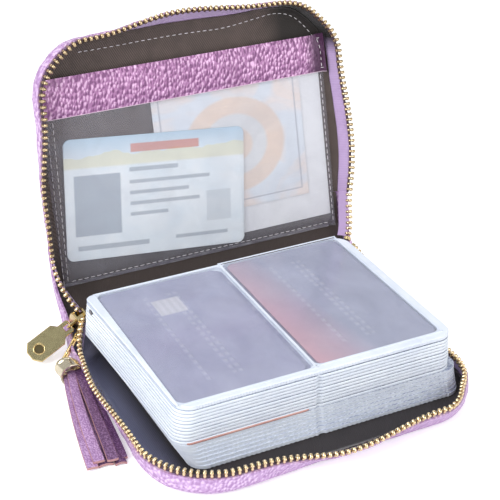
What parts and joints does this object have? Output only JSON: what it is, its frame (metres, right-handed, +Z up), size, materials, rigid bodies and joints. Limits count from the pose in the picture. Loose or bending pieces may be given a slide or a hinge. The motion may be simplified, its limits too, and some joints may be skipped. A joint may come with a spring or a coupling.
{
  "type": "card wallet",
  "caption": "Zip-round leather card wallet with a turning book of clear card sleeves, a clear pocket in the lid, a zip slider with pull tab and a leather tassel.",
  "frame": {"origin": "middle of the flat panel of the base half, on its underside", "axes": "+Z up; +Y towards the spine; +X to the right of a person who faces the open wallet"},
  "size_m": [0.1766, 0.1748, 0.1305],
  "materials": {
    "lilac_leather": "pebbled, metallic sheen",
    "stiffener": "grey board",
    "lining": "twill",
    "zip_tape": "woven",
    "gold_metal": "polished, pale gold",
    "sleeve_film": "clear film with welded seams",
    "clear_window": "clear smoke-tinted film",
    "paper": "matt",
    "printed_paper": "printed, folded",
    "printed_card": "printed plastic card",
    "grey_card": "plastic card",
    "red_card": "plastic card"
  },
  "bodies": {
    "base": {"back_cover": "lilac_leather", "back_board": "stiffener", "back_lining": "lining", "lower_zip_tape": "zip_tape", "lower_zip_teeth": "gold_metal"},
    "spine": {"spine_cover": "lilac_leather", "spine_lining": "lining", "top_stop_lower": "gold_metal", "top_stop_upper": "gold_metal", "lower_zip_end_left": "gold_metal", "lower_zip_end_right": "gold_metal", "upper_zip_end_left": "gold_metal", "upper_zip_end_right": "gold_metal"},
    "lid": {"front_cover": "lilac_leather", "front_board": "stiffener", "front_lining": "lining", "upper_zip_tape": "zip_tape", "upper_zip_teeth": "gold_metal", "clear_window": "clear_window", "pocket_band": "lilac_leather"},
    "slider": {"slider_body": "gold_metal", "bottom_stop": "gold_metal"},
    "pull_tab": {"pull_tab": "gold_metal"},
    "tassel_ring": {"tassel_ring": "gold_metal"},
    "tassel": {"tassel_cap": "gold_metal", "tassel_strip_1": "lilac_leather", "tassel_strip_2": "lilac_leather", "tassel_strip_3": "lilac_leather", "tassel_strip_4": "lilac_leather", "tassel_strip_5": "lilac_leather"},
    "id_card": {"id_card": "printed_card"},
    "folded_note": {"folded_note": "printed_paper"},
    "folded_paper": {"folded_paper": "paper"},
    "lower_leaves": {"leaf_01": "sleeve_film", "leaf_02": "sleeve_film", "leaf_03": "sleeve_film", "leaf_04": "sleeve_film", "leaf_05": "sleeve_film", "leaf_06": "sleeve_film", "leaf_07": "sleeve_film", "binding_lower": "sleeve_film"},
    "middle_leaves": {"leaf_08": "sleeve_film", "leaf_09": "sleeve_film", "leaf_10": "sleeve_film", "leaf_11": "sleeve_film", "leaf_12": "sleeve_film", "binding_middle": "sleeve_film"},
    "upper_leaves": {"leaf_13": "sleeve_film", "leaf_14": "sleeve_film", "leaf_15": "sleeve_film", "leaf_16": "sleeve_film", "leaf_17": "sleeve_film", "binding_upper": "sleeve_film"},
    "top_leaf": {"leaf_18": "sleeve_film"},
    "left_card": {"left_card": "grey_card"},
    "right_card": {"right_card": "grey_card"},
    "red_card": {"red_card": "red_card"}
  },
  "joints": [
    {"name": "spine_fold", "type": "hinge", "parent": "base", "child": "spine", "pos_m": [0, 0.05325, 0], "axis": [-1, 0, 0], "range_deg": [-62.8, 0], "deforming": ["lower_zip_end_left", "lower_zip_end_right"]},
    {"name": "lid_fold", "type": "hinge", "parent": "spine", "child": "lid", "pos_m": [0.0045, 0.08456, 0.01609], "axis": [-1, 0, 0], "range_deg": [-40.9, 49.1], "deforming": ["upper_zip_end_left", "upper_zip_end_right"]},
    {"name": "slider_give", "type": "slide", "parent": "spine", "child": "slider", "axis": [-0.7, 0.505, 0.505], "range_m": [0, 0.0083]},
    {"name": "tab_swing", "type": "hinge", "parent": "slider", "child": "pull_tab", "pos_m": [-0.06786, 0.05892, 0.01251], "axis": [0.3794, -0.6788, -0.6287], "range_deg": [-70, 10]},
    {"name": "link_swing", "type": "hinge", "parent": "slider", "child": "tassel_ring", "pos_m": [-0.06714, 0.05454, 0.00845], "axis": [0.6959, -0.6991, 0.1645], "range_deg": [-20, 0]},
    {"name": "tassel_swing", "type": "hinge", "parent": "tassel_ring", "child": "tassel", "pos_m": [-0.0772, 0.0438, 0.0054], "axis": [0.6959, -0.6991, 0.1645], "range_deg": [-30, 3]},
    {"name": "printed_card_slide", "type": "slide", "parent": "lid", "child": "id_card", "axis": [0, 0.2368, 0.9715], "range_m": [0, 0.036]},
    {"name": "note_slide", "type": "slide", "parent": "lid", "child": "folded_note", "axis": [0, 0.2368, 0.9715], "range_m": [0, 0.012]},
    {"name": "paper_slide", "type": "slide", "parent": "lid", "child": "folded_paper", "axis": [0, 0.2368, 0.9715], "range_m": [0, 0.012]},
    {"name": "lower_leaves_turn", "type": "hinge", "parent": "base", "child": "lower_leaves", "pos_m": [0, 0.05095, 0.00235], "axis": [-1, 0, 0], "range_deg": [0, 15]},
    {"name": "middle_leaves_turn", "type": "hinge", "parent": "lower_leaves", "child": "middle_leaves", "pos_m": [0, 0.05095, 0.01285], "axis": [-1, 0, 0], "range_deg": [0, 15]},
    {"name": "upper_leaves_turn", "type": "hinge", "parent": "middle_leaves", "child": "upper_leaves", "pos_m": [0, 0.05095, 0.02035], "axis": [-1, 0, 0], "range_deg": [0, 18]},
    {"name": "top_leaf_turn", "type": "hinge", "parent": "upper_leaves", "child": "top_leaf", "pos_m": [0, 0.05095, 0.02785], "axis": [-1, 0, 0], "range_deg": [0, 96]},
    {"name": "left_card_slide", "type": "slide", "parent": "top_leaf", "child": "left_card", "axis": [-1, 0, 0], "range_m": [0, 0.04]},
    {"name": "right_card_slide", "type": "slide", "parent": "top_leaf", "child": "right_card", "axis": [1, 0, 0], "range_m": [0, 0.04]},
    {"name": "red_card_slide", "type": "slide", "parent": "middle_leaves", "child": "red_card", "axis": [-1, 0, 0], "range_m": [0, 0.035]}
  ],
  "couplings": [
    {"joint": "slider_give", "follows": "spine_fold", "m_per_rad": -0.0075}
  ]
}
